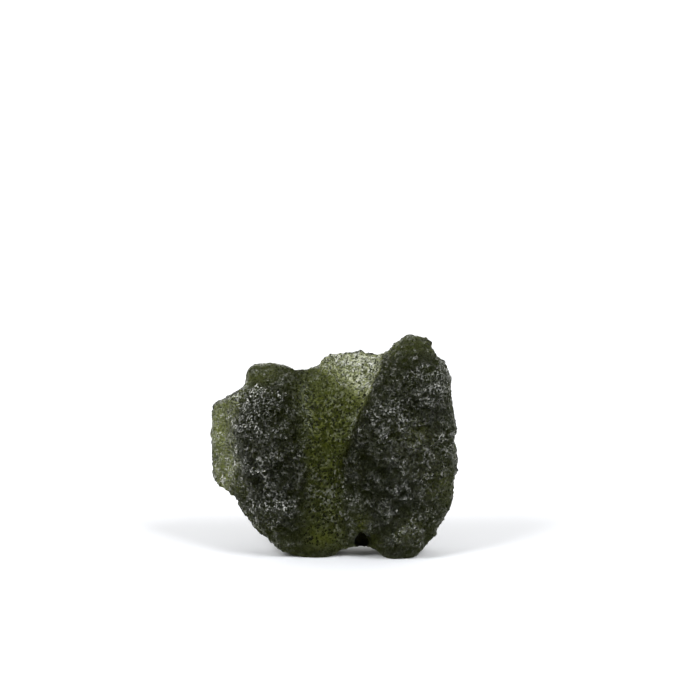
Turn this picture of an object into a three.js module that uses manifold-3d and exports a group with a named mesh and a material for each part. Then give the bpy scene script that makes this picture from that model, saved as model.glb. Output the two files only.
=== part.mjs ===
// A moldavite: one natural piece of bottle-green impact glass, standing upright on two small worn flats.
// Millimetres, +Z up. The side with the deep valley faces -Y, and +X is to the right for someone facing it.
// The origin is at the height of the flats, under the middle of the stone.
import * as THREE from "three";
import { ImprovedNoise } from "three/addons/math/ImprovedNoise.js";
import { mergeVertices } from "three/addons/utils/BufferGeometryUtils.js";
import Module from "manifold-3d";

// The girdle is the stone's outline seen from the front, as [x, depth, z], clockwise from the left foot.
// Depth is positive where the edge lies behind the middle of the stone.
const girdle = [
  [-4.8, 0, -0.2], [-6.3, 0, 0.3], [-8.2, 0, 1.8], [-9.5, 0.2, 3.0], [-11.2, 0.5, 5.1], [-12.4, 0.9, 7.0],
  [-13.8, 1.2, 7.8], [-14.8, 1.5, 8.8], [-15.1, 1.6, 11.6], [-15.3, 1.6, 14.6], [-15.1, 1.4, 17.6],
  [-14.3, 1.2, 18.8], [-12.7, 1.1, 20.0], [-11.4, 1.1, 20.4], [-10.9, 1.3, 21.2], [-10.7, 1.6, 22.6],
  [-9.8, 1.9, 23.2], [-8.0, 2.1, 23.3], [-5.9, 2.2, 23.3], [-4.2, 2.3, 22.5], [-3.1, 2.4, 23.0],
  [-2.2, 2.6, 22.8], [-1.2, 3.0, 24.1], [0.6, 3.4, 24.5], [2.8, 3.6, 24.8], [4.6, 3.4, 24.5],
  [6.0, 2.6, 24.5], [6.8, 1.8, 25.6], [8.2, 1.4, 26.7], [9.6, 1.2, 27.0], [11.2, 1.1, 26.7],
  [12.1, 0.9, 25.4], [13.6, 0.6, 23.1], [14.2, 0.4, 21.8], [14.3, 0.2, 19.6], [15.0, 0, 16.6],
  [14.8, -0.2, 14.2], [15.0, -0.3, 11.8], [14.6, -0.3, 8.8], [14.3, -0.2, 5.9], [13.3, -0.1, 3.9],
  [11.9, 0, 1.6], [10.5, 0, 0.2], [8.8, 0, -0.8], [6.3, 0, -0.8], [5.3, 0, 0.3], [4.5, 0, 0.8],
  [2.6, 0, 0.9], [1.1, 0, 0.7], [-0.2, 0, -0.3], [-2.0, 0, -0.9], [-3.4, 0, -0.7],
];

// Lines on the front, as [z, x] from the bottom up
const ledgeLine = [
  [3, 1.6], [7, 1.2], [11.4, 1.2], [14.4, 2.1], [17.4, 3.3], [21.1, 4.7], [23.5, 5.8], [25.4, 6.6],
];
const valleyLeft = [[3, -3.2], [7, -2.9], [12, -2.9], [15.5, -3.1], [18.5, -4.0], [21, -5.0], [24, -5.6]];
const flangeLine = [
  [7, -14.0], [9, -12.4], [11.7, -11.6], [14.4, -12.2], [17.4, -12.1], [19.3, -11.5], [21.5, -10.4],
];
// Where each lobe's front turns back to its smooth top facet, as [x, z] from the left
const capLine = [[-12, 21.2], [-8.6, 21.5], [-7.0, 21.6], [-5.2, 22.3], [-3.5, 23.4]];
const knobLine = [[5.0, 22.8], [6.4, 23.7], [8.1, 24.4], [10.0, 24.9], [13.0, 24.6]];

// How far each region stands forward of the girdle, as [z, depth] from the bottom up, in millimetres
const leftLobeFront = [[0, 4.2], [6, 5.1], [15, 5.3], [19, 4.8], [21.5, 4.1], [24, 3.3]];
const rightLobeFront = [[0, 4.0], [6, 5.0], [15, 5.5], [20, 5.1], [24, 4.3], [27, 3.5]];
const valleyFront = [[0, 3.3], [6, 3.0], [12, 2.8], [18, 2.5], [25, 1.7]];
// and how far behind it
const lobeBack = [[0, 3.4], [6, 4.2], [16, 4.4], [22, 4.2], [27, 3.5]];
const webBack = [[0, 3.4], [6, 3.0], [12, 2.7], [18, 2.4], [25, 1.8]];
// Half of the thin left flange's thickness, by height, and half of the crest's behind the top of the valley
const flangeHalf = [[8, 1.9], [10, 1.6], [14, 1.3], [17, 1.3], [20, 1.8]];
const finHalf = 0.85;
const finFoot = [-2.0, 22.9]; // the crest is thin above a line falling to the right from here
const finAcross = [0.6, 0.8]; // the direction square to that line

// How the regions run into each other
const valleySlope = [-4.4, 1.6]; // the gentle left side of the valley, from its line in valleyLeft
const ledgeWidth = 2.0; // the run of the steep step along the right lobe
const ledgeFade = [4, 13]; // the heights between which that step gives way to a gentle slope
const lowSlope = [-0.5, 6]; // where the gentle slope begins and ends across
const flangeSoftness = { front: 2.8, back: 3.6 };
const finSoftness = { front: 2, back: 5 };
const facetDrop = 0.5; // how much of its depth a lobe loses over its top facet
const facetSoftness = 1.3;
const webSlopes = { left: [-7.5, -1.5], right: [2, 8] }; // the sides of the hollow down the back, across
const girdleSwing = 10; // how far inside the girdle its depth no longer counts
const girdleSteps = 4; // straight runs between two corners of the girdle's curve

// How the faces turn into the side: the curve's fullness, and its reach by the glass's half thickness,
// between limits for thick and thin glass
const fullness = 2.35;
const reachByHalf = 1.1;
const thickReach = 5.2;
const thinReach = 1.6;

// Lumps (rise above 0) and scallops (rise below 0) that can be picked out, as [x, z, reach, rise]
const frontRelief = [
  [-8.5, 19.3, 1.9, 1.0], [-11.2, 17.0, 1.3, 0.6], [-9.7, 15.8, 1.3, 0.8], [-10.8, 13.9, 1.2, 0.7],
  [-6.4, 17.0, 1.8, -0.6], [-7.9, 14.4, 1.2, 0.5], [-9.1, 11.4, 1.5, 0.9], [-10.9, 11.0, 1.1, -0.7],
  [-6.0, 12.2, 2.0, 0.5], [-5.2, 8.7, 1.4, 0.7], [-9.9, 9.2, 1.2, 0.6], [-6.4, 7.7, 1.3, -0.7],
  [-4.0, 6.2, 1.4, -0.5], [-9.1, 5.7, 1.4, 0.7], [-6.2, 5.4, 1.4, 0.8], [-7.2, 3.2, 1.4, 0.6],
  [-4.6, 3.6, 1.9, -0.4], [-8.0, 8.4, 1.2, -0.6], [-5.6, 14.4, 1.4, -0.4], [-4.6, 19.4, 1.9, -0.4],
  [-13.2, 15.6, 1.6, -0.3], [-11.8, 9.5, 1.6, -0.9], [-2.0, 2.6, 1.4, -0.9],
  [10.2, 23.2, 2.5, -0.9], [7.4, 20.9, 1.7, 0.6], [12.2, 20.4, 2.1, 0.9], [9.9, 20.9, 1.4, -0.5],
  [8.3, 18.6, 2.1, -1.0], [11.2, 17.9, 1.5, 0.5], [6.5, 16.0, 2.7, -1.0], [3.3, 15.4, 1.0, 0.5],
  [13.2, 17.0, 1.5, -0.7], [9.9, 15.2, 1.6, 0.6], [12.6, 14.0, 1.8, -0.4], [6.1, 12.4, 1.5, 0.6],
  [3.6, 12.2, 1.4, -0.4], [8.8, 12.0, 1.8, -0.6], [4.2, 10.2, 1.5, 0.5], [3.4, 7.8, 2.0, -0.9],
  [6.6, 8.8, 1.3, 0.5], [11.0, 9.4, 1.5, -0.8], [9.0, 9.6, 1.2, 0.5], [12.9, 10.6, 1.5, 0.4],
  [12.0, 6.7, 1.5, -0.9], [8.7, 6.2, 2.2, -0.8], [6.1, 5.2, 1.5, 0.6], [10.6, 3.4, 1.6, 0.6],
  [3.5, 4.6, 1.5, -1.2], [7.0, 2.1, 1.4, 0.5], [13.0, 4.6, 1.2, -0.4], [5.0, 2.6, 1.2, -0.6],
];
const backRelief = [
  [-9.2, 18.6, 3.2, -1.3], [-5.2, 20.0, 2.4, 0.7], [-11.4, 9.6, 2.6, -2.2], [-10.8, 13.8, 2.2, 0.7],
  [-7.2, 14.0, 3.0, -1.4], [-8.0, 7.4, 2.6, 0.9], [-4.8, 10.4, 2.4, -1.0], [-5.6, 3.8, 2.4, -0.9],
  [-2.0, 2.8, 2.4, -2.8], [-2.4, 15.6, 2.2, 0.7], [1.2, 18.4, 2.6, -0.7], [0.6, 11.6, 2.4, -0.8],
  [3.6, 4.8, 2.4, -3.4], [4.6, 14.2, 2.4, 0.8], [7.4, 17.6, 2.8, -1.2], [9.4, 23.0, 2.4, -1.0],
  [11.4, 12.0, 3.0, -2.2], [12.6, 18.4, 2.4, 0.8], [7.0, 10.2, 2.6, -1.1], [10.9, 9.4, 1.9, -1.8],
  [11.0, 7.0, 2.2, -1.4], [8.4, 3.6, 2.4, -1.3], [12.6, 4.6, 1.8, 0.5], [5.6, 7.2, 1.6, 0.6],
];

// Smaller etch pits all over, evenly spread, with their reach and depth left to chance between limits
const pitSpacing = 2.9;
const pitReach = [1.0, 1.9];
const pitDepth = [0.1, 0.5];
// The slow unevenness of the whole surface, as [wavelength, height]
const unevenness = [[5.2, 0.4], [2.1, 0.3]];
// Relief weakens to its least where the glass is thinner than this half, and nearer the edge than this
const thinRelief = { half: 3, least: 0.35 };
const edgeRelief = { inward: 2, least: 0.45 };
const valleyRelief = 0.35; // the share of the relief that is left in the valley and behind it
const lumpSpread = 1.6; // how quickly a lump dies away

// The small hollow that opens into the notch between the feet
const hollow = { x: 3.5, z: 1.9, halfWidth: 0.8, halfHeight: 1.15, deep: 2.3 };

// Meshing
const sphereDetail = 20;
const relaxRounds = 48;
const relaxShare = 0.6;
const ballSize = [15.5, 12, 13.8]; // deeper than the stone, so that few vertices land on its thin crest
const ballRadius = 11; // of a round ball with about the stone's surface
const stoneMiddle = new THREE.Vector3(0, 0.3, 13);
const farOut = 9; // in front of or behind every part of the stone
const seatGap = 0.02;
const settleSteps = { pit: 16, ball: 12, last: 3 };
const longestStep = 0.7;
const leastSlope = 0.1;
const weld = 1e-4; // vertices nearer than this are one
const hollowRings = [20, 14];
const ground = { width: 60, height: 10 };

const noise = new ImprovedNoise();
const { clamp, lerp, smoothstep } = THREE.MathUtils;

// The value at t of straight runs between stations [t, value]
function along(stations, t) {
  if (t <= stations[0][0]) return stations[0][1];
  for (let i = 1; i < stations.length; i++) {
    const [t0, v0] = stations[i - 1];
    const [t1, v1] = stations[i];
    if (t < t1) return lerp(v0, v1, (t - t0) / (t1 - t0));
  }
  return stations[stations.length - 1][1];
}

// 0 well below the line and 1 well above it, with a soft change of the given width
function past(value, line, softness) {
  return smoothstep(value, line - softness / 2, line + softness / 2);
}

const girdleCorners = girdle.map((p) => new THREE.Vector3(...p));
const girdleCurve = new THREE.CatmullRomCurve3(girdleCorners, true, "centripetal");
const girdlePoints = girdleCurve.getPoints(girdle.length * girdleSteps).slice(0, -1);

// How far [x, z] lies inside the outline (negative outside), and the depth of the nearest place on the girdle
function fromGirdle(x, z) {
  let nearest = Infinity;
  let depth = 0;
  let inside = false;
  girdlePoints.forEach((a, i) => {
    const b = girdlePoints[(i + 1) % girdlePoints.length];
    const runX = b.x - a.x;
    const runZ = b.z - a.z;
    const t = clamp(((x - a.x) * runX + (z - a.z) * runZ) / (runX * runX + runZ * runZ), 0, 1);
    const away = (x - a.x - t * runX) ** 2 + (z - a.z - t * runZ) ** 2;
    if (away < nearest) {
      nearest = away;
      depth = lerp(a.y, b.y, t);
    }
    if (a.z > z !== b.z > z && x < a.x + ((z - a.z) / runZ) * runX) inside = !inside;
  });
  return { inward: (inside ? 1 : -1) * Math.sqrt(nearest), depth };
}

// 1 on the thick part of the stone and 0 on the flange
function offFlange(x, z, softness) {
  return past(x, along(flangeLine, z), softness);
}

// 1 on the thin crest at the top of the valley
function onFin(x, z, softness) {
  const across = (x - finFoot[0]) * finAcross[0] + (z - finFoot[1]) * finAcross[1];
  return past(across, softness / 4, softness);
}

// 0 on the left lobe and 1 past the gentle slope down into the valley
function intoValley(x, z) {
  return smoothstep(x - along(valleyLeft, z), ...valleySlope);
}

// 0 in the valley and 1 on the right lobe, with a steep step between them that turns gentle lower down
function ontoLedge(x, z) {
  const gentle = smoothstep(x, ...lowSlope);
  const steep = past(x, along(ledgeLine, z), ledgeWidth);
  return lerp(gentle, steep, smoothstep(z, ...ledgeFade));
}

// How far the front stands forward of the girdle at [x, z]
function frontDepth(x, z) {
  const floor = lerp(along(valleyFront, z), finHalf, onFin(x, z, finSoftness.front));
  const leftTop = 1 - facetDrop * past(z, along(capLine, x) + facetSoftness / 4, facetSoftness);
  const rightTop = 1 - facetDrop * past(z, along(knobLine, x) + facetSoftness / 4, facetSoftness);
  const left = lerp(along(leftLobeFront, z) * leftTop, floor, intoValley(x, z));
  const right = along(rightLobeFront, z) * rightTop;
  const thick = lerp(left, right, ontoLedge(x, z));
  return lerp(along(flangeHalf, z), thick, offFlange(x, z, flangeSoftness.front));
}

// 1 in the broad hollow down the back and 0 on the lobes
function intoWeb(x) {
  return smoothstep(x, ...webSlopes.left) * (1 - smoothstep(x, ...webSlopes.right));
}

// How far the back stands behind the girdle at [x, z]
function backDepth(x, z) {
  const between = lerp(along(webBack, z), finHalf, onFin(x, z, finSoftness.back));
  const thick = lerp(along(lobeBack, z), between, intoWeb(x));
  return lerp(along(flangeHalf, z), thick, offFlange(x, z, flangeSoftness.back));
}

// Roughly the distance outside the stone without its relief (negative inside), with half the glass's
// thickness here and the distance in from the girdle
function plainShape(p) {
  const { inward, depth } = fromGirdle(p.x, p.z);
  const y = p.y - depth * (1 - smoothstep(inward, 0, girdleSwing));
  const half = y < 0 ? frontDepth(p.x, p.z) : backDepth(p.x, p.z);
  const reach = clamp(half * reachByHalf, thinReach, thickReach);
  const across = Math.abs(y) / half;
  const outward = 1 - Math.min(inward / reach, 1);
  const size = (across ** fullness + outward ** fullness) ** (1 / fullness);
  return { distance: (size - 1) * Math.min(half, reach), half, inward };
}

function plainStone(p) {
  return plainShape(p).distance;
}

// The direction in which a field grows fastest, and its value, at p
const probe = new THREE.Vector3();
const probeStep = 0.04;
function slopeOf(field, p) {
  const here = field(p);
  const slope = new THREE.Vector3();
  for (const axis of ["x", "y", "z"]) {
    probe.copy(p);
    probe[axis] += probeStep;
    slope[axis] = (field(probe) - here) / probeStep;
  }
  return { here, slope };
}

// Moves p towards the surface of the field, in steps that are never long
function settle(field, p, steps) {
  for (let i = 0; i < steps; i++) {
    const { here, slope } = slopeOf(field, p);
    const step = slope.multiplyScalar(-here / Math.max(slope.lengthSq(), leastSlope));
    p.add(step.clampLength(0, longestStep));
  }
  return p;
}

// The place on the plain surface in front of (side -1) or behind (side 1) [x, z]
function seat(x, z, side) {
  const p = new THREE.Vector3(x, side * farOut, z);
  while (plainStone(p) > seatGap) p.y -= side * Math.max(plainStone(p) / 2, seatGap);
  return p;
}

// Etch pits are spread on a spiral of directions, so they reach round the sides too.
function etchPits() {
  const count = Math.round(4 * Math.PI * (ballRadius / pitSpacing) ** 2);
  const goldenAngle = Math.PI * (3 - Math.sqrt(5));
  return Array.from({ length: count }, (_, i) => {
    const up = 1 - (2 * (i + 0.5)) / count;
    const ring = Math.sqrt(1 - up * up);
    const direction = [ring * Math.cos(goldenAngle * i), up, ring * Math.sin(goldenAngle * i)];
    const at = new THREE.Vector3(...direction).multiply(new THREE.Vector3(...ballSize)).add(stoneMiddle);
    const chance = clamp(0.5 + noise.noise(i * 3.71, 0.5, 0.5), 0, 1);
    settle(plainStone, at, settleSteps.pit);
    return { at, reach: lerp(...pitReach, chance), rise: -lerp(...pitDepth, chance) };
  });
}

const relief = [
  ...frontRelief.map(([x, z, reach, rise]) => ({ at: seat(x, z, -1), reach, rise })),
  ...backRelief.map(([x, z, reach, rise]) => ({ at: seat(x, z, 1), reach, rise })),
  ...etchPits(),
];

// The finished stone. A scallop is a crisp-edged bowl and a lump is a soft swelling.
function stone(p) {
  const { distance, half, inward } = plainShape(p);
  let rise = 0;
  for (const { at, reach, rise: height } of relief) {
    const away = at.distanceToSquared(p) / (reach * reach);
    if (height < 0 && away < 1) rise += height * (1 - away);
    else if (height > 0) rise += height * Math.exp(-lumpSpread * away);
  }
  unevenness.forEach(([wave, height], i) => {
    rise += height * noise.noise(p.x / wave + 7 * i, p.y / wave, p.z / wave);
  });
  const onThin = clamp(half / thinRelief.half, thinRelief.least, 1);
  const onEdge = clamp(inward / edgeRelief.inward, edgeRelief.least, 1);
  const valley = p.y < 0 ? intoValley(p.x, p.z) * (1 - ontoLedge(p.x, p.z)) : intoWeb(p.x);
  return distance - rise * onThin * onEdge * lerp(1, valleyRelief, valley);
}

// A fine sphere drawn in onto the stone, with its vertices evened out on the way
function stoneSurface() {
  const ball = new THREE.IcosahedronGeometry(1, sphereDetail);
  ball.deleteAttribute("normal");
  ball.deleteAttribute("uv");
  const skin = mergeVertices(ball, weld);
  skin.scale(...ballSize).translate(...stoneMiddle);
  const place = skin.attributes.position;
  const pointAt = (_, i) => new THREE.Vector3().fromBufferAttribute(place, i);
  const points = Array.from({ length: place.count }, pointAt);
  const neighbours = points.map(() => new Set());
  const corners = skin.index.array;
  for (let i = 0; i < corners.length; i += 3) {
    for (let j = 0; j < 3; j++) {
      neighbours[corners[i + j]].add(corners[i + ((j + 1) % 3)]);
      neighbours[corners[i + ((j + 1) % 3)]].add(corners[i + j]);
    }
  }
  for (const p of points) settle(plainStone, p, settleSteps.ball);
  for (let round = 0; round < relaxRounds; round++) {
    const evened = points.map((p, i) => evenedOut(points, neighbours[i], p));
    evened.forEach((p, i) => points[i].copy(settle(stone, p, 1)));
  }
  for (const p of points) settle(stone, p, settleSteps.last);
  points.forEach((p, i) => place.setXYZ(i, p.x, p.y, p.z));
  return skin;
}

// A vertex moved along the surface, most of the way towards the middle of its neighbours
function evenedOut(points, neighbours, p) {
  const pull = middleOf(points, neighbours, p).sub(p).multiplyScalar(relaxShare);
  return pull.projectOnPlane(slopeOf(plainStone, p).slope.normalize()).add(p);
}

// The middle of a vertex's neighbours, with the far ones counting more, so that long edges shorten
function middleOf(points, neighbours, p) {
  const middle = new THREE.Vector3();
  let total = 0;
  for (const j of neighbours) {
    const weight = points[j].distanceTo(p);
    middle.addScaledVector(points[j], weight);
    total += weight;
  }
  return middle.divideScalar(total);
}

const wasm = await Module();
wasm.setup();

function solidFrom(geometry) {
  const bare = geometry.clone();
  bare.deleteAttribute("normal");
  bare.deleteAttribute("uv");
  const merged = mergeVertices(bare, weld);
  return new wasm.Manifold(
    new wasm.Mesh({
      numProp: 3,
      vertProperties: merged.attributes.position.array,
      triVerts: new Uint32Array(merged.index.array),
    }),
  );
}

function geometryFrom(solid) {
  const mesh = solid.getMesh();
  return new THREE.BufferGeometry()
    .setAttribute("position", new THREE.BufferAttribute(mesh.vertProperties, 3))
    .setIndex(new THREE.BufferAttribute(mesh.triVerts, 1));
}

// What the ground wears away: all that reaches below the two flats
function groundBlock() {
  return new THREE.BoxGeometry(ground.width, ground.width, ground.height).translate(0, 0, -ground.height / 2);
}

function hollowBlank() {
  const mouth = seat(hollow.x, hollow.z, -1);
  return new THREE.SphereGeometry(1, ...hollowRings)
    .scale(hollow.halfWidth, hollow.deep, hollow.halfHeight)
    .translate(hollow.x, mouth.y, hollow.z);
}

function moldavite() {
  const cut = solidFrom(stoneSurface()).subtract(solidFrom(groundBlock())).subtract(solidFrom(hollowBlank()));
  const geometry = geometryFrom(cut);
  geometry.computeBoundingBox();
  const middle = geometry.boundingBox.getCenter(new THREE.Vector3());
  geometry.translate(-middle.x, -middle.y, 0);
  const bottleGreen = new THREE.MeshStandardMaterial({ color: 0x2c331c, roughness: 0.35, metalness: 0 });
  const mesh = new THREE.Mesh(geometry, bottleGreen);
  mesh.name = "moldavite";
  return mesh;
}

const part = new THREE.Group();
part.add(moldavite());

export default part;
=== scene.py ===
import math

import bmesh
import bpy
import numpy as np
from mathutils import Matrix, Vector


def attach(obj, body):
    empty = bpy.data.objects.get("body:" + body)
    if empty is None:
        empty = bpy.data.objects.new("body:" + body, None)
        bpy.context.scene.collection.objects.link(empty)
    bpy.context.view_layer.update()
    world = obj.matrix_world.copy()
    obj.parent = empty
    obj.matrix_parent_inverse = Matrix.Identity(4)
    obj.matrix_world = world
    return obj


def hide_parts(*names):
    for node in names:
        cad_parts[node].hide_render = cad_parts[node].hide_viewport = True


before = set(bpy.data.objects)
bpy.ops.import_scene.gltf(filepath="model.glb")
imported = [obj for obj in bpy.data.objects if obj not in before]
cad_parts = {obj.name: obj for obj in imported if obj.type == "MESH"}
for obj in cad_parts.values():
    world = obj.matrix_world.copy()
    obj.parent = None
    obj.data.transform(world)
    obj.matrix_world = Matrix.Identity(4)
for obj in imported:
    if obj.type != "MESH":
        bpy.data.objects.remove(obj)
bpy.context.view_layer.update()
mm = 0.001

print("moldavite: frame loaded")


class Wire:
    # a socket that adds a Math node for each sum that it is used in
    def __init__(self, tree, socket):
        self.tree = tree
        self.socket = socket

    def sum(self, operation, first, second):
        return self.tree.add("ShaderNodeMath", {"operation": operation}, {0: first, 1: second})

    def __add__(self, other):
        return self.sum("ADD", self, other)

    def __radd__(self, other):
        return self.sum("ADD", other, self)

    def __sub__(self, other):
        return self.sum("SUBTRACT", self, other)

    def __rsub__(self, other):
        return self.sum("SUBTRACT", other, self)

    def __mul__(self, other):
        return self.sum("MULTIPLY", self, other)

    def __rmul__(self, other):
        return self.sum("MULTIPLY", other, self)

    def __truediv__(self, other):
        return self.sum("DIVIDE", self, other)

    def __rtruediv__(self, other):
        return self.sum("DIVIDE", other, self)

    def atMost(self, limit):
        return self.sum("MINIMUM", self, limit)

    def atLeast(self, limit):
        return self.sum("MAXIMUM", self, limit)

    def ramp(self, low, high, toLow=0.0, toHigh=1.0):
        # smooth change from one value to another as this one goes from low to high
        settings = {"interpolation_type": "SMOOTHSTEP"}
        sockets = {"Value": self, "From Min": low, "From Max": high, "To Min": toLow, "To Max": toHigh}
        return self.tree.add("ShaderNodeMapRange", settings, sockets)


class Nodes:
    # builds any node tree, one node a call
    def __init__(self, tree):
        self.tree = tree

    def add(self, kind, settings=None, sockets=None, out=0):
        node = self.tree.nodes.new(kind)
        for name, value in (settings or {}).items():
            setattr(node, name, value)
        for name, value in (sockets or {}).items():
            self.feed(node.inputs[name], value)
        return Wire(self, node.outputs[out]) if node.outputs else node

    def feed(self, socket, value):
        if isinstance(value, Wire):
            self.tree.links.new(value.socket, socket)
        else:
            socket.default_value = value


def smoothStep(values, low, high):
    t = np.clip((values - low) / (high - low), 0, 1)
    return t * t * (3 - 2 * t)


# The stone's places are in millimetres: x across, y the depth, less towards the front, and z the height.
# lines on its front, each as some heights and the places across at those heights
landmarks = {
    "ledge": ([3, 7, 11.4, 14.4, 17.4, 21.1, 23.5, 25.4], [1.6, 1.2, 1.2, 2.1, 3.3, 4.7, 5.8, 6.6]),
    "valleyLeft": ([3, 7, 12, 15.5, 18.5, 21, 24], [-3.2, -2.9, -2.9, -3.0, -3.7, -4.4, -5.0]),
    "flange": ([7, 9, 11.7, 14.4, 17.4, 19.3, 21.5], [-14.0, -12.4, -11.6, -12.2, -12.1, -11.5, -10.4]),
}
# the foot of each smooth top facet, as some places across and the heights there
facets = {
    "cap": ([-12, -8.6, -7.0, -5.2, -3.5], [21.2, 21.5, 21.6, 22.3, 23.4]),
    "knob": ([5.0, 6.4, 8.1, 10.0, 13.0], [22.8, 23.7, 24.4, 24.9, 24.6]),
}
# how far before and after its line each of these blends into what lies beside it
blends = {
    "ledge": (-0.25, 0.15),
    "valleyLeft": (-1.6, 0.5),
    "flange": (-0.6, 0.8),
    "cap": (-0.1, 0.6),
    "knob": (-0.1, 0.7),
}
# the two places along one axis between which a region begins or ends
fades = {
    "frontDepth": (-0.5, 1.5),
    "valleyFoot": (0.3, 2.5),
    "capEnd": (-4, -3),
    "knobStart": (5, 6.4),
    "tallLobeStart": (1, 5),
    "quietStart": (-8, -5),  # the left lobe's side towards the valley has fewer specks with painted glints
    "quietEnd": (-2, 1),
    "groundEnd": (0.1, 1.0),
    "ledgeFoot": (9, 15),
    "ledgeTop": (24, 26),
    "ledgeDepth": (-1.5, 0.5),
    "crestDepth": (2.9, 3.6),
    "hollowDepth": (1.0, 2.0),
}
hollowShape = {"across": 3.45, "up": 1.9, "half": 0.95, "high": 1.3, "edge": (0.6, 1.1)}
# the pale crest lies above a line that falls to the right from a point: its slope, and how far it blends
crestShape = {"across": -2.0, "up": 22.9, "slope": (0.6, 0.8), "blend": (-0.9, 2.3)}
# soft patches on the front, each as its place across, its height, its reach and its strength
patches = {
    # sparkle: where the bright specks and their painted glints gather
    "sparkle": [
        (-9.1, 20.0, 2.6, 0.6), (-9.8, 16.2, 1.6, 0.4), (-11.4, 17.2, 1.2, 0.5), (-11.4, 14.2, 1.2, 0.4),
        (-9.1, 12.0, 1.5, 0.5), (-7.7, 9.5, 1.5, 0.4), (-9.5, 7.1, 1.7, 0.6), (-5.8, 6.5, 1.7, 0.6),
        (-7.4, 3.8, 1.0, 0.4), (-13.1, 10.8, 1.9, 1.2), (-1.0, 8.0, 3.0, 0.8), (-3.6, 13.0, 1.0, 0.3),
        (12.4, 21.7, 1.9, 0.6), (7.9, 21.4, 1.3, 0.4), (4.9, 19.3, 1.1, 0.4), (7.0, 18.0, 1.5, 0.3),
        (4.6, 14.6, 1.4, 0.25), (8.1, 12.6, 2.0, 0.2), (11.2, 10.1, 0.9, 1.2), (8.0, 2.6, 1.4, 0.3),
        (13.0, 14.5, 2.6, 0.4), (10.0, 5.5, 2.6, 0.3), (-8.0, 6.0, 2.6, 0.3),
    ],
    # olive: where the painted glow of light through the glass is stronger, and weaker where the strength is
    # below nought
    "olive": [
        (10.3, 15.9, 2.2, 0.6), (13.2, 9.6, 2.6, 0.8), (9.4, 3.7, 2.2, 0.9), (3.5, 4.7, 1.2, 1.4),
        (5.5, 2.2, 0.9, 1.0), (-1.6, 2.4, 1.4, 1.0), (-11.3, 8.9, 1.4, 1.0), (-12.6, 14.5, 1.2, 0.5),
        (7.6, 25.0, 1.6, -0.1), (-8.6, 22.5, 2.0, 0.3), (9.5, 14.0, 3.5, 0.25), (-7.5, 14.0, 3.0, 0.2),
        (-1.5, 20.0, 2.2, -0.15), (2.6, 19.0, 1.2, 0.35), (-8.0, 4.5, 3.0, 0.3),
    ],
}
patchWidth = 0.8  # how wide a patch spreads for its reach


def across(name, height):
    return np.interp(height, *landmarks[name])


def facetFoot(name, place):
    return np.interp(place, *facets[name])


def pastLine(name, values, line):
    before, after = blends[name]
    return smoothStep(values, line + before, line + after)


def past(name, values):
    return smoothStep(values, *fades[name])


def patched(name, x, z):
    total = np.zeros_like(x)
    for atX, atZ, reach, strength in patches[name]:
        total += strength * np.exp(-((x - atX) ** 2 + (z - atZ) ** 2) / (patchWidth * reach**2))
    return total


stoneShape = {
    "weld": 0.002,  # points nearer than this are one point
    "voxel": 0.165,  # size of a mesh cell
    "evenRounds": 3,
    "evenShare": 0.5,  # how far a point moves to the middle of its neighbours in one round
    "valleyRounds": 40,
    "ledgePinch": 2.0,  # how much the steep step is narrowed: 1 leaves it as it is
    "ledgeReach": 1.7,
    "ledgeLip": 0.25,  # height of the crisp rim along the top of the step
    "lipPlace": 0.45,  # where it is and how wide, as shares of the reach
    "lipWidth": 0.25,
    "crisp": 25,  # degrees: an edge that bends more than this stays sharp
    "flatDepth": 0.07,  # what lies this near the ground is the worn flat
}


def mergedCopy(node):
    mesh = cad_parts[node].data.copy()
    work = bmesh.new()
    work.from_mesh(mesh)
    bmesh.ops.remove_doubles(work, verts=work.verts, dist=stoneShape["weld"] * mm)
    work.to_mesh(mesh)
    work.free()
    return mesh


def evaluatedMesh(obj):
    graph = bpy.context.evaluated_depsgraph_get()
    return bpy.data.meshes.new_from_object(obj.evaluated_get(graph))


def points(mesh):
    flat = np.empty(len(mesh.vertices) * 3)
    mesh.vertices.foreach_get("co", flat)
    return flat.reshape(-1, 3) / mm


def setPoints(mesh, place):
    mesh.vertices.foreach_set("co", (place * mm).ravel())
    mesh.update()


def fineMesh():
    # the CAD solid at the resolution of its etching
    coarse = mergedCopy("moldavite")
    carrier = bpy.data.objects.new("fineStone", coarse)
    bpy.context.scene.collection.objects.link(carrier)
    remesh = carrier.modifiers.new("remesh", "REMESH")
    remesh.mode = "VOXEL"
    remesh.voxel_size = stoneShape["voxel"] * mm
    mesh = evaluatedMesh(carrier)
    bpy.data.objects.remove(carrier)
    return mesh


def evenOut(mesh, rounds, share):
    place = points(mesh)
    ends = np.empty(len(mesh.edges) * 2, dtype=np.int64)
    mesh.edges.foreach_get("vertices", ends)
    first, second = ends.reshape(-1, 2).T
    count = np.bincount(ends, minlength=len(place))[:, None]
    for _ in range(rounds):
        total = np.zeros_like(place)
        np.add.at(total, first, place[second])
        np.add.at(total, second, place[first])
        place += share * (total / count - place)
    setPoints(mesh, place)


def betweenLobes(x, z):
    inside = pastLine("valleyLeft", x, across("valleyLeft", z))
    return inside * (1 - pastLine("ledge", x, across("ledge", z)))


def inValley(x, y, z):
    return betweenLobes(x, z) * (1 - past("frontDepth", y)) * past("valleyFoot", z)


def calmValley(mesh):
    share = stoneShape["evenShare"] * inValley(*points(mesh).T)
    evenOut(mesh, stoneShape["valleyRounds"], share[:, None])


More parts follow.
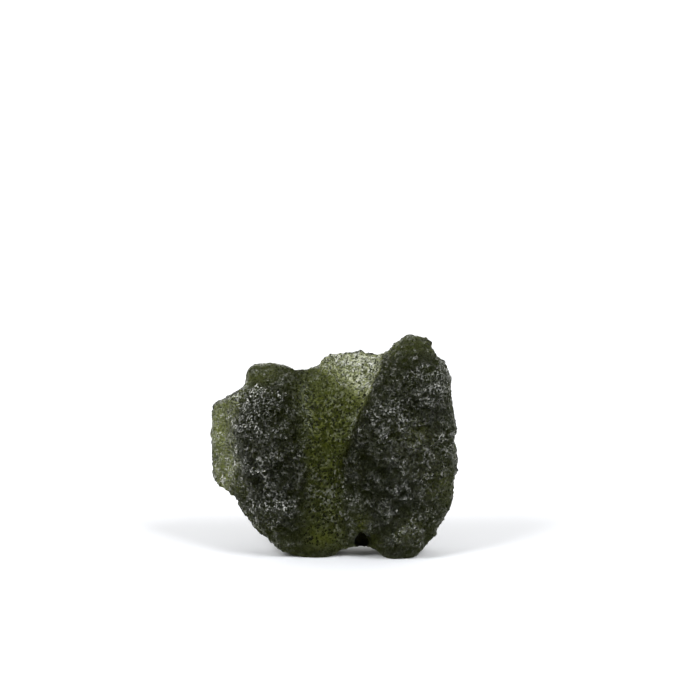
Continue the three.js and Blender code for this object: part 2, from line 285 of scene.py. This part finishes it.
def sharpenLedge(mesh):
    # the tall lobe's left side drops more steeply than the solid's own facets can
    x, y, z = points(mesh).T
    reach = stoneShape["ledgeReach"]
    off = (x - across("ledge", z)) / reach
    near = (np.abs(off) < 1) & (y < fades["ledgeDepth"][1])
    strength = past("ledgeFoot", z) * (1 - past("ledgeTop", z)) * (1 - past("ledgeDepth", y))
    pinched = np.sign(off) * np.abs(off) ** stoneShape["ledgePinch"]
    x[near] += ((pinched - off) * reach * strength)[near]
    lip = np.exp(-(((off - stoneShape["lipPlace"]) / stoneShape["lipWidth"]) ** 2)) * strength
    y -= stoneShape["ledgeLip"] * lip
    setPoints(mesh, np.column_stack([x, y, z]))


def writeMask(mesh, name, values):
    mask = mesh.attributes.new(name, "FLOAT", "POINT")
    mask.data.foreach_set("value", values.astype(np.float32))


regions = {
    "etchedLess": {"valley": 0.86, "cap": 0.5, "knob": 0.2, "flange": 0.3},  # shares taken off the etching
    "satin": {"cap": 0.8, "knob": 0.5},  # how much of the top facets' calm each has
    "sparkle": 0.55,  # the bright specks' share everywhere, and what changes it: each speck is a glossy skin over a painted glint
    "lessOnTallLobe": 0.15,
    "lessWhereQuiet": 0.25,
    "moreOnFlange": 0.5,
    # the painted glow of light through the glass, everywhere, before its patches are added
    "olive": 0.15,
    "frostAndSheenOnCrest": 1.05,
    "frostAndSheenOnFlange": 0.6,
}


def markRegions(mesh):
    # writes how strongly each place is etched, and how much crust and painted light of each kind lies there
    x, y, z = points(mesh).T
    front = 1 - past("frontDepth", y)
    part = {
        "valley": inValley(x, y, z),
        "cap": pastLine("cap", z, facetFoot("cap", x)) * (1 - past("capEnd", x)),
        "knob": pastLine("knob", z, facetFoot("knob", x)) * past("knobStart", x),
        "flange": 1 - pastLine("flange", x, across("flange", z)),
    }
    etched = past("groundEnd", z)
    for name, less in regions["etchedLess"].items():
        etched = etched * (1 - less * part[name])
    satin = [share * part[name] for name, share in regions["satin"].items()]
    writeMask(mesh, "etched", etched)
    writeMask(mesh, "valley", part["valley"])
    writeMask(mesh, "facet", np.maximum(*satin))
    markSparkle(mesh, part["flange"], front)
    # the olive mask: where the painted glow of light through the glass lies, and how strong
    writeMask(mesh, "olive", regions["olive"] + patched("olive", x, z) * front)
    markFrostAndSheen(mesh, part["flange"] * front)
    markHollow(mesh)


def markSparkle(mesh, flange, front):
    # where the bright specks gather, each a glossy skin over a painted glint
    x, y, z = points(mesh).T
    everywhere = regions["sparkle"] - regions["lessOnTallLobe"] * past("tallLobeStart", x)
    everywhere -= regions["lessWhereQuiet"] * past("quietStart", x) * (1 - past("quietEnd", x))
    inFront = patched("sparkle", x, z) + regions["moreOnFlange"] * flange
    writeMask(mesh, "sparkle", everywhere + inFront * front)


def markFrostAndSheen(mesh, flange):
    # the pale frost on the crest and the flange: partly frosted etching, partly painted sheen
    x, y, z = points(mesh).T
    slopeX, slopeZ = crestShape["slope"]
    above = (x - crestShape["across"]) * slopeX + (z - crestShape["up"]) * slopeZ
    crest = smoothStep(above, *crestShape["blend"]) * betweenLobes(x, z) * (1 - past("crestDepth", y))
    frostAndSheen = np.maximum(regions["frostAndSheenOnCrest"] * crest, regions["frostAndSheenOnFlange"] * flange)
    writeMask(mesh, "frostAndSheen", frostAndSheen)


def markHollow(mesh):
    # where the hollow lies: its shade is painted dark there, and the glass is rougher
    x, y, z = points(mesh).T
    away = ((x - hollowShape["across"]) / hollowShape["half"]) ** 2
    away += ((z - hollowShape["up"]) / hollowShape["high"]) ** 2
    writeMask(mesh, "hollow", (1 - smoothStep(away, *hollowShape["edge"])) * (1 - past("hollowDepth", y)))


# the etching's inputs in Geometry Nodes, lengths in millimetres
etching = {
    "Scallop Size": 1.9,
    "Scallop Depth": 0.38,
    "Pit Size": 0.85,
    "Pit Depth": 0.28,
    "Grain Size": 0.45,
    "Grain Depth": 0.15,
    "Sway": 0.55,  # how far noise bends the pits out of round
    "Seed": 3.0,
}


bowlShape = {
    "curve": 1.7,
    "level": 0.8,  # how far the middle of a bowl is sunk
    "randomness": 0.9,
    "swayScale": 0.55,
    "swayReach": 3,
    "unevenScale": 0.21,
    "uneven": (0.35, 0.65, 0.45, 1.15),  # noise from and to, and the share of the pits' depth there
    "pitPhase": 7,  # so that the three sizes don't share their cells
    "grainPhase": 13,
    "grainLeft": 0.3,  # the grain's share where nothing else is etched
}


def etchGroup():
    group = bpy.data.node_groups.new("etching", "GeometryNodeTree")
    group.interface.new_socket("Geometry", in_out="INPUT", socket_type="NodeSocketGeometry")
    for name in etching:
        group.interface.new_socket(name, in_out="INPUT", socket_type="NodeSocketFloat")
    group.interface.new_socket("Geometry", in_out="OUTPUT", socket_type="NodeSocketGeometry")
    return group


def scaled(nodes, vector, factor):
    return nodes.add("ShaderNodeVectorMath", {"operation": "SCALE"}, {"Vector": vector, "Scale": factor})


def centred(nodes, vector):
    sockets = {0: vector, 1: (0.5, 0.5, 0.5)}
    return nodes.add("ShaderNodeVectorMath", {"operation": "SUBTRACT"}, sockets)


def added(nodes, first, second):
    return nodes.add("ShaderNodeVectorMath", {"operation": "ADD"}, {0: first, 1: second})


def etchedHeight(nodes, size):
    # bowls that meet in crisp ridges, in three sizes
    place = scaled(nodes, nodes.add("GeometryNodeInputPosition"), 1 / mm)
    sockets = {"Vector": place, "W": size["Seed"], "Scale": bowlShape["swayScale"], "Detail": 2.0}
    sway = nodes.add("ShaderNodeTexNoise", {"noise_dimensions": "4D"}, sockets, "Color")
    sway = scaled(nodes, centred(nodes, sway), size["Sway"] * bowlShape["swayReach"])
    bent = added(nodes, place, sway)

    def bowls(width, depth, phase):
        # a Voronoi cell's squared distance is a bowl, and neighbouring bowls meet in a ridge
        settings = {"voronoi_dimensions": "4D", "feature": "F1"}
        sockets = {"Vector": bent, "W": size["Seed"] + phase, "Scale": 1 / width}
        sockets["Randomness"] = bowlShape["randomness"]
        cell = nodes.add("ShaderNodeTexVoronoi", settings, sockets, "Distance")
        return (cell * cell * bowlShape["curve"] - bowlShape["level"]) * depth

    sockets = {"Vector": place, "Scale": bowlShape["unevenScale"], "Detail": 1.0}
    uneven = nodes.add("ShaderNodeTexNoise", {}, sockets, "Fac").ramp(*bowlShape["uneven"])
    settings = {"data_type": "FLOAT"}
    etched = nodes.add("GeometryNodeInputNamedAttribute", settings, {"Name": "etched"}, "Attribute")
    grainLeft = bowlShape["grainLeft"]
    scallops = bowls(size["Scallop Size"], size["Scallop Depth"], 0) * etched
    pits = bowls(size["Pit Size"], size["Pit Depth"], bowlShape["pitPhase"]) * etched * uneven
    grain = bowls(size["Grain Size"], size["Grain Depth"], bowlShape["grainPhase"])
    return scallops + pits + grain * (etched * (1 - grainLeft) + grainLeft)


def etchTree(material):
    # Geometry Nodes: moves the surface along its normals by the etching's height
    group = etchGroup()
    nodes = Nodes(group)
    given = group.nodes.new("NodeGroupInput")
    size = {name: Wire(nodes, given.outputs[name]) for name in etching}
    height = etchedHeight(nodes, size)
    start = Wire(nodes, given.outputs["Geometry"])
    settings = {"data_type": "FLOAT", "domain": "POINT"}
    sockets = {"Geometry": start, "Name": "raised", "Value": height}
    noted = nodes.add("GeometryNodeStoreNamedAttribute", settings, sockets)
    offset = scaled(nodes, nodes.add("GeometryNodeInputNormal"), height * mm)
    moved = nodes.add("GeometryNodeSetPosition", {}, {"Geometry": noted, "Offset": offset})
    plain = nodes.add("GeometryNodeRealizeInstances", {}, {"Geometry": moved})
    finish = nodes.add("GeometryNodeSetMaterial", {}, {"Geometry": plain, "Material": material})
    nodes.feed(group.nodes.new("NodeGroupOutput").inputs["Geometry"], finish)
    return group


def etch(obj, material):
    group = etchTree(material)
    modifier = obj.modifiers.new("etching", "NODES")
    modifier.node_group = group
    for item in group.interface.items_tree:
        if item.in_out == "INPUT" and item.name in etching:
            modifier[item.identifier] = etching[item.name]
    mesh = evaluatedMesh(obj)
    obj.modifiers.remove(modifier)
    obj.data = mesh


def restOnFlats(mesh):
    place = points(mesh)
    low = place[:, 2] < stoneShape["flatDepth"]
    place[low, 2] = 0
    setPoints(mesh, place)


glass = {
    "absorbedColor": (0.44, 0.47, 0.08, 1),  # what the glass lets through best
    "absorption": 950,  # per metre
    "surfaceColor": (0.93, 0.96, 0.86, 1),
    "ior": 1.49,
    "tint": (0.66, 0.68, 0.64, 1),  # the glass's own reflection
    "roughness": (0.28, 0.31),  # satin valley and facets, etched lobes
    "roughnessDrift": 0.1,
    "roughest": 0.9,
    "satinFacets": 0.7,  # how much of the valley's calm the top facets have
    "calmGrain": 0.45,  # the grain's share in the valley
    "grainSize": 0.32,  # millimetres, as the next three
    "grainBump": 0.08,
    "fineBump": 0.02,
    "facetSize": 0.15,  # the smallest glints
    "facetTilt": (0.1, 1.2),  # how far they turn in the valley and on the lobes: 1 is about 30 degrees
    "skinRoughness": 0.12,  # the glossy skin of the bright specks
    "skinIor": 1.6,
    # painted shade: the hollow's dark inside is painted into the glass's base colour
    "hollowShadeColor": (0.02, 0.016, 0.01, 1),
    "hollowRoughness": 0.5,  # added in the hollow
}

# a thin dull crust over the glass, which also carries painted light (glints, sheen and the glow of light
# through the glass): its share where it is full, and its colour
crustAndPaintedLight = {
    "roughness": 0.6,
    "shine": 0.2,
    "paintedGlint": 0.88,
    "dot": 0.2,  # the valley's lighter dots
    "dotSize": 0.24,  # millimetres
    "dotShare": 0.75,  # how much they take the place of the smaller facets in the valley
    # the painted glow of light through the glass, as the crust's share where the olive mask is full
    "paintedGlow": 0.16,
    "frostAndSheen": 0.8,  # frosted etching with painted sheen, on the crest and the flange
    "frostAndSheenLimit": 0.97,
    "frostAndSheenPaleness": 0.7,
    "pit": 0.65,
    "pitOnLobes": 0.3,  # the pits' share there
    "pitDarkening": (0.8, 0.4),  # what a pit takes off the pale crust with its painted glints and sheen, and how much less of that in the frost and its sheen
    # how pale the painted glints in the specks are
    "paintedGlintPaleness": 6,
    "calmSpecks": 0.25,  # the specks' share in the valley
    "paleColor": (0.78, 0.78, 0.72, 1),  # the specks' painted glints, and the frost with its painted sheen
    "oliveColor": (0.42, 0.46, 0.06, 1),  # the painted glow of light through the glass, and the valley's lighter dots
    "pitColor": (0.01, 0.011, 0.004, 1),
}

# which cells are bright or dark, and where they gather: from and to, and the shares there where given.
# Bright cells hold the painted glints, gathered in clusters and on raised ridges, and the valley's lighter
# dots
chances = {
    "bright": (0.56, 0.72),
    "dark": (0.3, 0.44),
    "clusters": (0.36, 0.6, 0.2, 1.0),
    "clusterScale": 0.9,
    "ridges": (-0.3, 0.0, 0.4, 1.0),
    "frostAndSheen": (0.3, 0.6, 0.45, 1.0),
    "frostAndSheenScale": 1.6,
    "driftScale": 0.5,
}


class GlassNodes(Nodes):
    # the patterns that the glass and its crust with painted light share
    def __init__(self, tree):
        super().__init__(tree)
        self.place = scaled(self, self.add("ShaderNodeTexCoord", out="Object"), 1 / mm)
        self.calm = self.painted("valley").atLeast(self.painted("facet") * glass["satinFacets"])
        self.lively = 1 - self.calm
        self.hollow = self.painted("hollow")
        self.chance = self.cells(glass["facetSize"], "Color")

    def noise(self, scale, detail):
        sockets = {"Vector": self.place, "Scale": scale, "Detail": detail}
        return self.add("ShaderNodeTexNoise", {}, sockets, "Fac")

    def cells(self, size, out):
        sockets = {"Vector": self.place, "Scale": 1 / size}
        return self.add("ShaderNodeTexVoronoi", {"feature": "F1"}, sockets, out)

    def painted(self, name):
        return self.add("ShaderNodeAttribute", {"attribute_name": name}, out="Fac")

    def mix(self, factor, first, second):
        sockets = {0: factor, 6: first, 7: second}  # 6 and 7 are the two colours
        return self.add("ShaderNodeMix", {"data_type": "RGBA"}, sockets, 2)

    def byPlace(self, inValley, onLobes):
        return inValley + self.lively * (onLobes - inValley)


def glassNormal(nodes):
    # bowls of grain, and over them small flat facets that each turn their own way
    grain = nodes.cells(glass["grainSize"], "Distance")
    fine = nodes.noise(2 / glass["grainSize"], 2.0)
    relief = grain * grain * glass["grainBump"] * nodes.byPlace(glass["calmGrain"], 1)
    relief = relief + fine * glass["fineBump"]
    bump = nodes.add("ShaderNodeBump", {}, {"Strength": 1.0, "Distance": mm, "Height": relief})
    turn = scaled(nodes, centred(nodes, nodes.chance), nodes.byPlace(*glass["facetTilt"]))
    return nodes.add("ShaderNodeVectorMath", {"operation": "NORMALIZE"}, {0: added(nodes, bump, turn)})


def brightAndDark(nodes):
    # a Math node makes one number of each cell's own colour, and that number is its luck
    dots = nodes.cells(crustAndPaintedLight["dotSize"], "Color") * 1.0
    luck = nodes.chance * 1.0
    luck = luck + (dots - luck) * nodes.calm * crustAndPaintedLight["dotShare"]
    return luck.ramp(*chances["bright"]), 1 - luck.ramp(*chances["dark"])


def clearGlass(nodes, normal, glintSpecks):
    drift = (nodes.noise(chances["driftScale"], 3.0) - 0.5) * glass["roughnessDrift"]
    roughness = nodes.byPlace(*glass["roughness"]) + drift + nodes.hollow * glass["hollowRoughness"]
    return nodes.add("ShaderNodeBsdfPrincipled", {}, {
        # the hollow gets its painted shade as a near-black base colour
        "Base Color": nodes.mix(nodes.hollow, glass["surfaceColor"], glass["hollowShadeColor"]),
        "Roughness": roughness.atMost(glass["roughest"]),
        "IOR": glass["ior"],
        "Coat Weight": glintSpecks * (1 - nodes.hollow),
        "Coat Roughness": glass["skinRoughness"],
        "Coat IOR": glass["skinIor"],
        "Transmission Weight": 1.0,
        "Specular Tint": glass["tint"],
        "Normal": normal,
    })


def dullCrustAndPaintedLight(nodes, normal, pale, dark):
    # a dull layer: its random dots and dark pits, and its painted glints, painted sheen and painted glow of
    # light through the glass
    light = nodes.mix(pale, crustAndPaintedLight["oliveColor"], crustAndPaintedLight["paleColor"])
    return nodes.add("ShaderNodeBsdfPrincipled", {}, {
        "Base Color": nodes.mix(dark, light, crustAndPaintedLight["pitColor"]),
        "Roughness": crustAndPaintedLight["roughness"],
        "Specular IOR Level": crustAndPaintedLight["shine"],
        "Normal": normal,
    })


def moldaviteGlass():
    material = bpy.data.materials.new("moldaviteGlass")
    material.use_nodes = True
    material.node_tree.nodes.clear()
    nodes = GlassNodes(material.node_tree)
    bright, dark = brightAndDark(nodes)
    # the specks are painted glints on the pale crust and a glossy skin on the glass: they gather in clusters
    # and on raised ridges
    clusters = nodes.noise(chances["clusterScale"], 3.0).ramp(*chances["clusters"])
    clusters = clusters * nodes.painted("raised").ramp(*chances["ridges"])
    glintSpecks = bright * clusters * nodes.painted("sparkle") * nodes.byPlace(crustAndPaintedLight["calmSpecks"], 1)
    frostAndSheen = nodes.painted("frostAndSheen") * nodes.noise(chances["frostAndSheenScale"], 4.0).ramp(*chances["frostAndSheen"])

    # the share of the crust and its painted light is that of whichever kind is strongest there
    light = (glintSpecks * crustAndPaintedLight["paintedGlint"]).atLeast((frostAndSheen * crustAndPaintedLight["frostAndSheen"]).atMost(crustAndPaintedLight["frostAndSheenLimit"]))
    light = light.atLeast(nodes.painted("olive") * crustAndPaintedLight["paintedGlow"]).atLeast(bright * nodes.calm * crustAndPaintedLight["dot"])
    darkening, lessInFrost = crustAndPaintedLight["pitDarkening"]
    light = light * (1 - dark * (darkening - frostAndSheen.atMost(1.0) * lessInFrost))
    pits = dark * crustAndPaintedLight["pit"] * (crustAndPaintedLight["pitOnLobes"] + nodes.calm * (1 - crustAndPaintedLight["pitOnLobes"]))
    share = light.atLeast(pits) * (1 - nodes.hollow)
    pale = (glintSpecks * crustAndPaintedLight["paintedGlintPaleness"]).atLeast(frostAndSheen * crustAndPaintedLight["frostAndSheenPaleness"]).atMost(1.0)

    normal = glassNormal(nodes)
    clear = clearGlass(nodes, normal, glintSpecks)
    dull = dullCrustAndPaintedLight(nodes, normal, pale, dark)
    surface = nodes.add("ShaderNodeMixShader", {}, {0: share, 1: clear, 2: dull})
    sockets = {"Color": glass["absorbedColor"], "Density": glass["absorption"]}
    inside = nodes.add("ShaderNodeVolumeAbsorption", {}, sockets)
    nodes.add("ShaderNodeOutputMaterial", {}, {"Surface": surface, "Volume": inside})
    return material


def makeStone():
    mesh = fineMesh()
    evenOut(mesh, stoneShape["evenRounds"], stoneShape["evenShare"])
    calmValley(mesh)
    sharpenLedge(mesh)
    markRegions(mesh)
    mesh.shade_smooth()
    obj = bpy.data.objects.new("moldaviteStone", mesh)
    bpy.context.scene.collection.objects.link(obj)
    etch(obj, moldaviteGlass())
    obj.data.set_sharp_from_angle(angle=math.radians(stoneShape["crisp"]))
    restOnFlats(obj.data)
    obj.data.name = "moldaviteStone"
    print("moldavite: stone has", sum(len(p.vertices) - 2 for p in obj.data.polygons), "triangles")
    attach(obj, "root")
    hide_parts("moldavite")


floorLook = {
    "half": 0.6,  # metres
    "seen": 0.96,  # how white it looks
    "bounce": 0.62,  # and how much light it throws on the stone
    "fadeFrom": 0.03,  # metres behind the stone, where it starts to fade into the backdrop
    "fade": 0.3,
}


def paleFloor():
    material = bpy.data.materials.new("paleFloor")
    material.use_nodes = True
    material.node_tree.nodes.clear()
    nodes = Nodes(material.node_tree)
    seen = nodes.add("ShaderNodeLightPath", out="Is Camera Ray")
    place = nodes.add("ShaderNodeTexCoord", out="Object")
    behind = nodes.add("ShaderNodeSeparateXYZ", {}, {0: place}, "Y")
    far = behind.ramp(floorLook["fadeFrom"], floorLook["half"], 0.0, floorLook["fade"])
    white = floorLook["bounce"] + seen * (floorLook["seen"] - floorLook["bounce"] + far)
    shader = nodes.add("ShaderNodeBsdfDiffuse", {}, {"Color": white})
    nodes.add("ShaderNodeOutputMaterial", {}, {"Surface": shader})
    return material


def makeFloor():
    half = floorLook["half"]
    corners = [(-half, -half, 0), (half, -half, 0), (half, half, 0), (-half, half, 0)]
    mesh = bpy.data.meshes.new("floor")
    mesh.from_pydata(corners, [], [(0, 1, 2, 3)])
    mesh.materials.append(paleFloor())
    obj = bpy.data.objects.new("floor", mesh)
    bpy.context.scene.collection.objects.link(obj)


studio = {
    "back": 0.95,  # the room's brightness behind the stone, above it and on the camera's side
    "top": 0.35,
    "front": 0.06,
    "frontToBack": (-0.6, 0.5),  # where one brightness turns into the next, by direction
    "sidesToTop": (0.3, 0.9),
    "seen": 1.0,  # its brightness as the camera's own backdrop
    "boxAim": (0, 0, 0.012),  # metres
    "boxDistance": 1.6,
    "boxSize": (0.6, 0.78),
    "boxPower": 10.6,  # watts
    "boxes": [(-50, 40), (48, 42)],  # degrees round from the camera, and up
    "boxTint": (0.94, 0.96, 1.0),
}


def makeRoom():
    world = bpy.data.worlds.new("whiteRoom")
    bpy.context.scene.world = world
    world.use_nodes = True
    world.node_tree.nodes.clear()
    nodes = Nodes(world.node_tree)
    direction = nodes.add("ShaderNodeTexCoord", out="Generated")
    away = nodes.add("ShaderNodeSeparateXYZ", {}, {0: direction}, "Y")
    up = nodes.add("ShaderNodeSeparateXYZ", {}, {0: direction}, "Z")
    level = away.ramp(*studio["frontToBack"], studio["front"], studio["back"])
    level = level + up.ramp(*studio["sidesToTop"]) * (studio["top"] - level)
    seen = nodes.add("ShaderNodeLightPath", out="Is Camera Ray")
    level = level + seen * (studio["seen"] - level)
    shade = nodes.add("ShaderNodeBackground", {}, {"Color": (1, 1, 1, 1), "Strength": level})
    nodes.add("ShaderNodeOutputWorld", {}, {"Surface": shade})


def makeSoftbox(name, around, up):
    turn = math.radians(around)
    lift = math.radians(up)
    way = Vector((math.sin(turn) * math.cos(lift), -math.cos(turn) * math.cos(lift), math.sin(lift)))
    light = bpy.data.lights.new(name, "AREA")
    light.shape = "RECTANGLE"
    light.size, light.size_y = studio["boxSize"]
    light.energy = studio["boxPower"]
    light.color = studio["boxTint"]
    obj = bpy.data.objects.new(name, light)
    obj.location = Vector(studio["boxAim"]) + way * studio["boxDistance"]
    obj.rotation_euler = (-way).to_track_quat("-Z", "Y").to_euler()
    bpy.context.scene.collection.objects.link(obj)


view = {
    "lens": 120,  # millimetres, as the next two
    "sensor": 36,
    "nearest": 10,
    "elevation": 10,  # degrees
    "frameWidth": 85.05,  # millimetres across the image at the stone
    "aim": (2.07, 0, 25.4),  # millimetres
    "look": "High Contrast",
}


def makeCamera():
    camera = bpy.data.cameras.new("camera")
    camera.lens = view["lens"]
    camera.sensor_width = view["sensor"]
    camera.clip_start = view["nearest"] * mm
    distance = view["frameWidth"] * mm * view["lens"] / camera.sensor_width
    lift = math.radians(view["elevation"])
    aim = Vector(view["aim"]) * mm
    obj = bpy.data.objects.new("camera", camera)
    obj.location = aim + Vector((0, -math.cos(lift), math.sin(lift))) * distance
    obj.rotation_euler = (math.radians(90) - lift, 0, 0)
    bpy.context.scene.collection.objects.link(obj)
    bpy.context.scene.camera = obj
    bpy.context.scene.view_settings.view_transform = "Standard"
    bpy.context.scene.view_settings.look = view["look"]


makeCamera()
makeRoom()
for number, (around, up) in enumerate(studio["boxes"]):
    makeSoftbox("softbox%d" % number, around, up)
makeFloor()
print("moldavite: studio ready")
makeStone()

print("moldavite: done")
